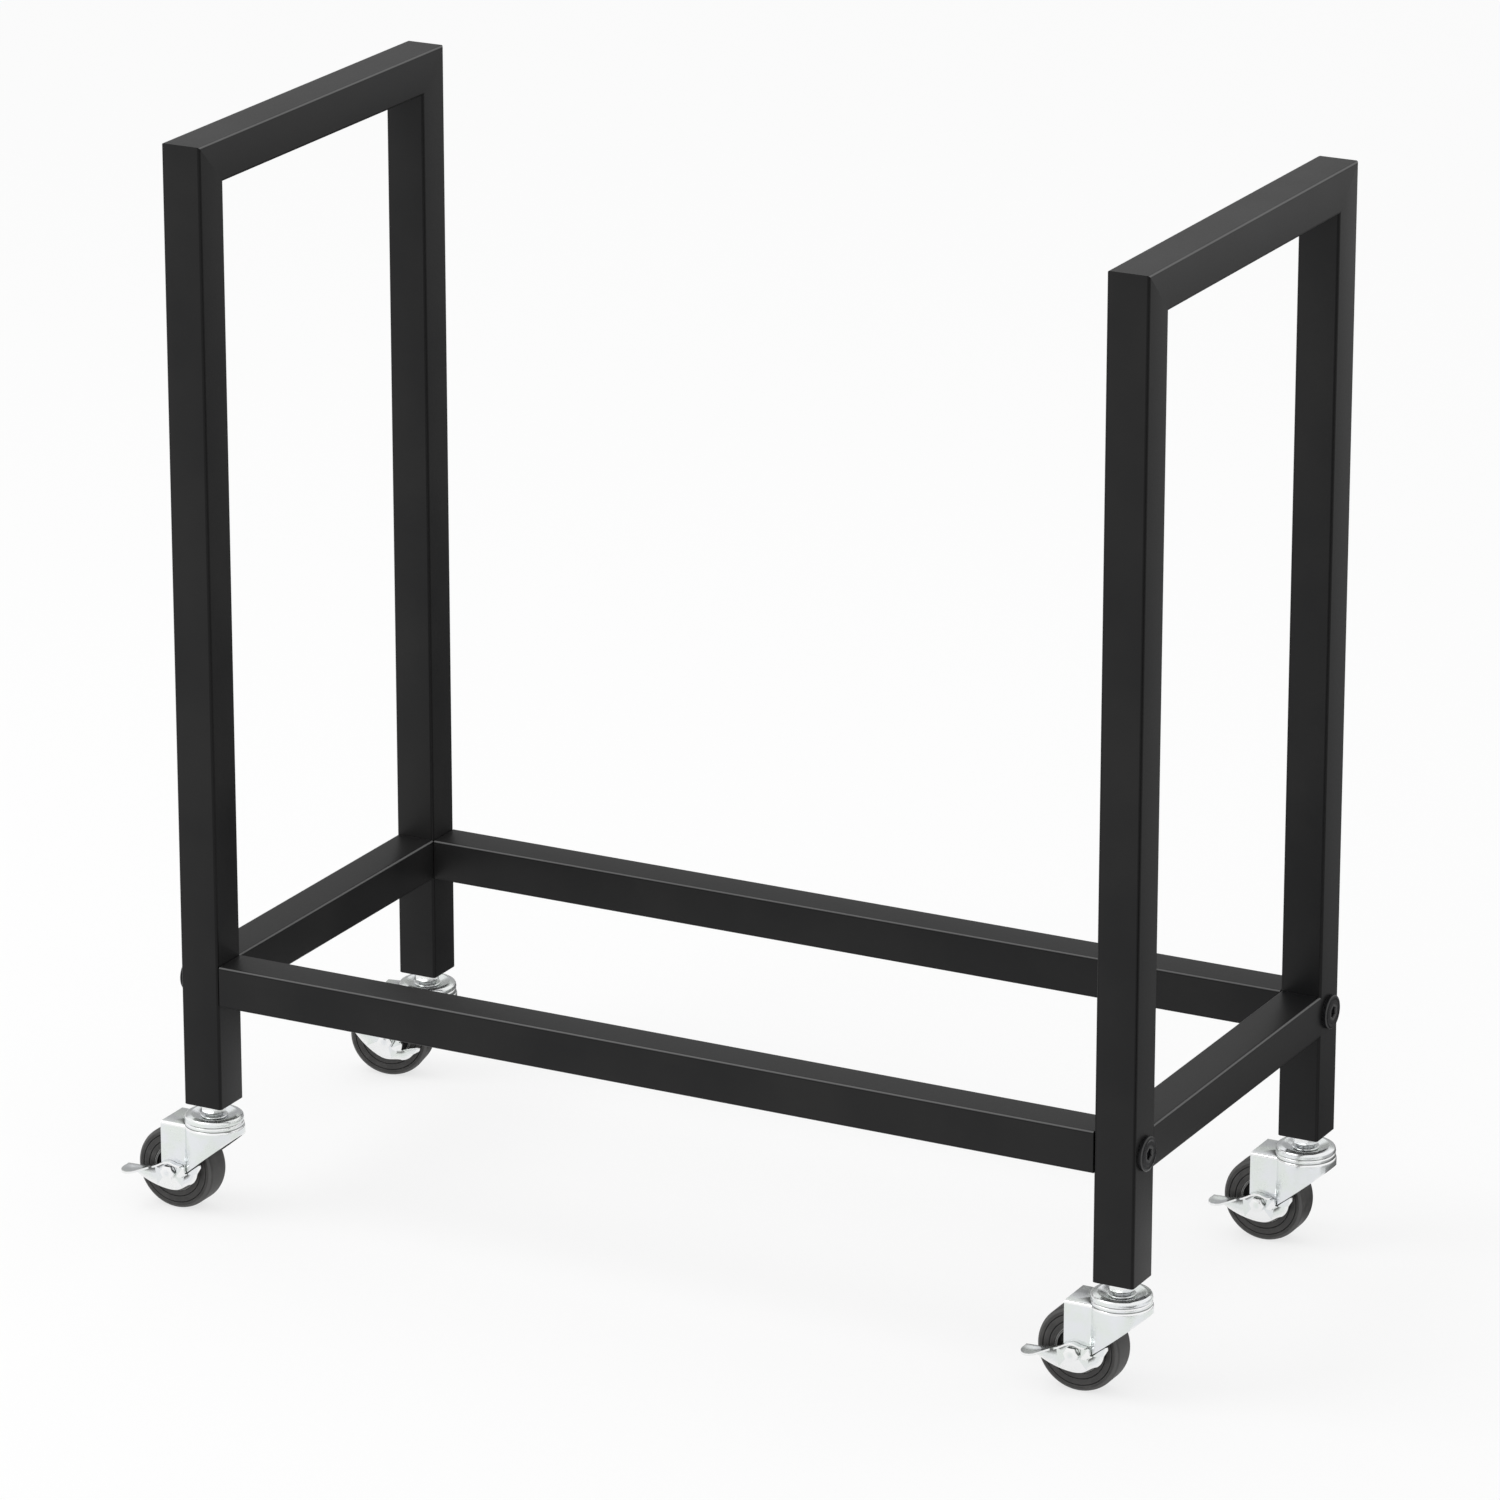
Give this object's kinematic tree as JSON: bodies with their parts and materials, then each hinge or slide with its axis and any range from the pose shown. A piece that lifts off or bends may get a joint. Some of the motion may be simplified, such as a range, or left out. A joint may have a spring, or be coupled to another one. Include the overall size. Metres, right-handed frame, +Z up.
{
  "type": "fireside log cart",
  "caption": "Open firewood cart: two square-tube end frames joined by bolted rails, standing on braked swivel casters.",
  "frame": {"origin": "on the floor, under the middle of the whole cart with its casters and levers", "axes": "+X along the rails towards the right end frame, +Y from the brake levers' side to the far side, +Z up"},
  "size_m": [0.6546, 0.2958, 0.645],
  "materials": {
    "powder_coat": "black satin powder coat, very fine texture",
    "black_bolt": "black oxide, satin",
    "zinc_plate": "bright zinc plate on pressed steel",
    "plain_steel": "plain machined steel",
    "hub_nylon": "matt black moulded nylon",
    "tyre_rubber": "dark grey moulded rubber"
  },
  "bodies": {
    "frame": {"post_front_left": "powder_coat", "post_front_right": "powder_coat", "post_rear_right": "powder_coat", "post_rear_left": "powder_coat", "top_bar_left": "powder_coat", "top_bar_right": "powder_coat", "crossbar_left": "powder_coat", "crossbar_right": "powder_coat", "rail_front": "powder_coat", "rail_rear": "powder_coat", "rail_bolt_front_left": "black_bolt", "rail_bolt_front_right": "black_bolt", "rail_bolt_rear_right": "black_bolt", "rail_bolt_rear_left": "black_bolt", "rail_nut_front_left": "plain_steel", "rail_nut_front_right": "plain_steel", "rail_nut_rear_right": "plain_steel", "rail_nut_rear_left": "plain_steel", "stem_socket_front_left": "plain_steel", "stem_socket_front_right": "plain_steel", "stem_socket_rear_right": "plain_steel", "stem_socket_rear_left": "plain_steel", "caster_stem_front_left": "zinc_plate", "caster_stem_front_right": "zinc_plate", "caster_stem_rear_right": "zinc_plate", "caster_stem_rear_left": "zinc_plate", "swivel_cap_front_left": "zinc_plate", "swivel_cap_front_right": "zinc_plate", "swivel_cap_rear_right": "zinc_plate", "swivel_cap_rear_left": "zinc_plate"},
    "swivel_front_left": {"fork_front_left": "zinc_plate", "ball_cage_front_left": "plain_steel", "axle_bolt_front_left": "zinc_plate", "axle_nut_front_left": "zinc_plate"},
    "swivel_front_right": {"fork_front_right": "zinc_plate", "ball_cage_front_right": "plain_steel", "axle_bolt_front_right": "zinc_plate", "axle_nut_front_right": "zinc_plate"},
    "swivel_rear_right": {"fork_rear_right": "zinc_plate", "ball_cage_rear_right": "plain_steel", "axle_bolt_rear_right": "zinc_plate", "axle_nut_rear_right": "zinc_plate"},
    "swivel_rear_left": {"fork_rear_left": "zinc_plate", "ball_cage_rear_left": "plain_steel", "axle_bolt_rear_left": "zinc_plate", "axle_nut_rear_left": "zinc_plate"},
    "wheel_front_left": {"tyre_front_left": "tyre_rubber", "wheel_hub_front_left": "hub_nylon"},
    "wheel_front_right": {"tyre_front_right": "tyre_rubber", "wheel_hub_front_right": "hub_nylon"},
    "wheel_rear_right": {"tyre_rear_right": "tyre_rubber", "wheel_hub_rear_right": "hub_nylon"},
    "wheel_rear_left": {"tyre_rear_left": "tyre_rubber", "wheel_hub_rear_left": "hub_nylon"},
    "brake_front_left": {"brake_lever_front_left": "zinc_plate"},
    "brake_front_right": {"brake_lever_front_right": "zinc_plate"},
    "brake_rear_right": {"brake_lever_rear_right": "zinc_plate"},
    "brake_rear_left": {"brake_lever_rear_left": "zinc_plate"}
  },
  "joints": [
    {"name": "swivel_turn_front_left", "type": "hinge", "parent": "frame", "child": "swivel_front_left", "pos_m": [-0.27575, -0.1206, 0.055], "axis": [0, 0, 1], "continuous": true},
    {"name": "swivel_turn_front_right", "type": "hinge", "parent": "frame", "child": "swivel_front_right", "pos_m": [0.30925, -0.1206, 0.055], "axis": [0, 0, 1], "continuous": true},
    {"name": "swivel_turn_rear_right", "type": "hinge", "parent": "frame", "child": "swivel_rear_right", "pos_m": [0.30925, 0.1294, 0.055], "axis": [0, 0, 1], "continuous": true},
    {"name": "swivel_turn_rear_left", "type": "hinge", "parent": "frame", "child": "swivel_rear_left", "pos_m": [-0.27575, 0.1294, 0.055], "axis": [0, 0, 1], "continuous": true},
    {"name": "wheel_spin_front_left", "type": "hinge", "parent": "swivel_front_left", "child": "wheel_front_left", "pos_m": [-0.29825, -0.1206, 0.025], "axis": [0, 1, 0], "continuous": true},
    {"name": "wheel_spin_front_right", "type": "hinge", "parent": "swivel_front_right", "child": "wheel_front_right", "pos_m": [0.28675, -0.1206, 0.025], "axis": [0, 1, 0], "continuous": true},
    {"name": "wheel_spin_rear_right", "type": "hinge", "parent": "swivel_rear_right", "child": "wheel_rear_right", "pos_m": [0.28675, 0.1294, 0.025], "axis": [0, 1, 0], "continuous": true},
    {"name": "wheel_spin_rear_left", "type": "hinge", "parent": "swivel_rear_left", "child": "wheel_rear_left", "pos_m": [-0.29776, 0.12472, 0.025], "axis": [-0.2079, 0.9781, 0], "continuous": true},
    {"name": "brake_press_front_left", "type": "hinge", "parent": "swivel_front_left", "child": "brake_front_left", "pos_m": [-0.29825, -0.1206, 0.025], "axis": [0, 1, 0], "range_deg": [0, 28]},
    {"name": "brake_press_front_right", "type": "hinge", "parent": "swivel_front_right", "child": "brake_front_right", "pos_m": [0.28675, -0.1206, 0.025], "axis": [0, 1, 0], "range_deg": [0, 28]},
    {"name": "brake_press_rear_right", "type": "hinge", "parent": "swivel_rear_right", "child": "brake_rear_right", "pos_m": [0.28675, 0.1294, 0.025], "axis": [0, 1, 0], "range_deg": [0, 28]},
    {"name": "brake_press_rear_left", "type": "hinge", "parent": "swivel_rear_left", "child": "brake_rear_left", "pos_m": [-0.29776, 0.12472, 0.025], "axis": [-0.2079, 0.9781, 0], "range_deg": [-28, 0]}
  ]
}
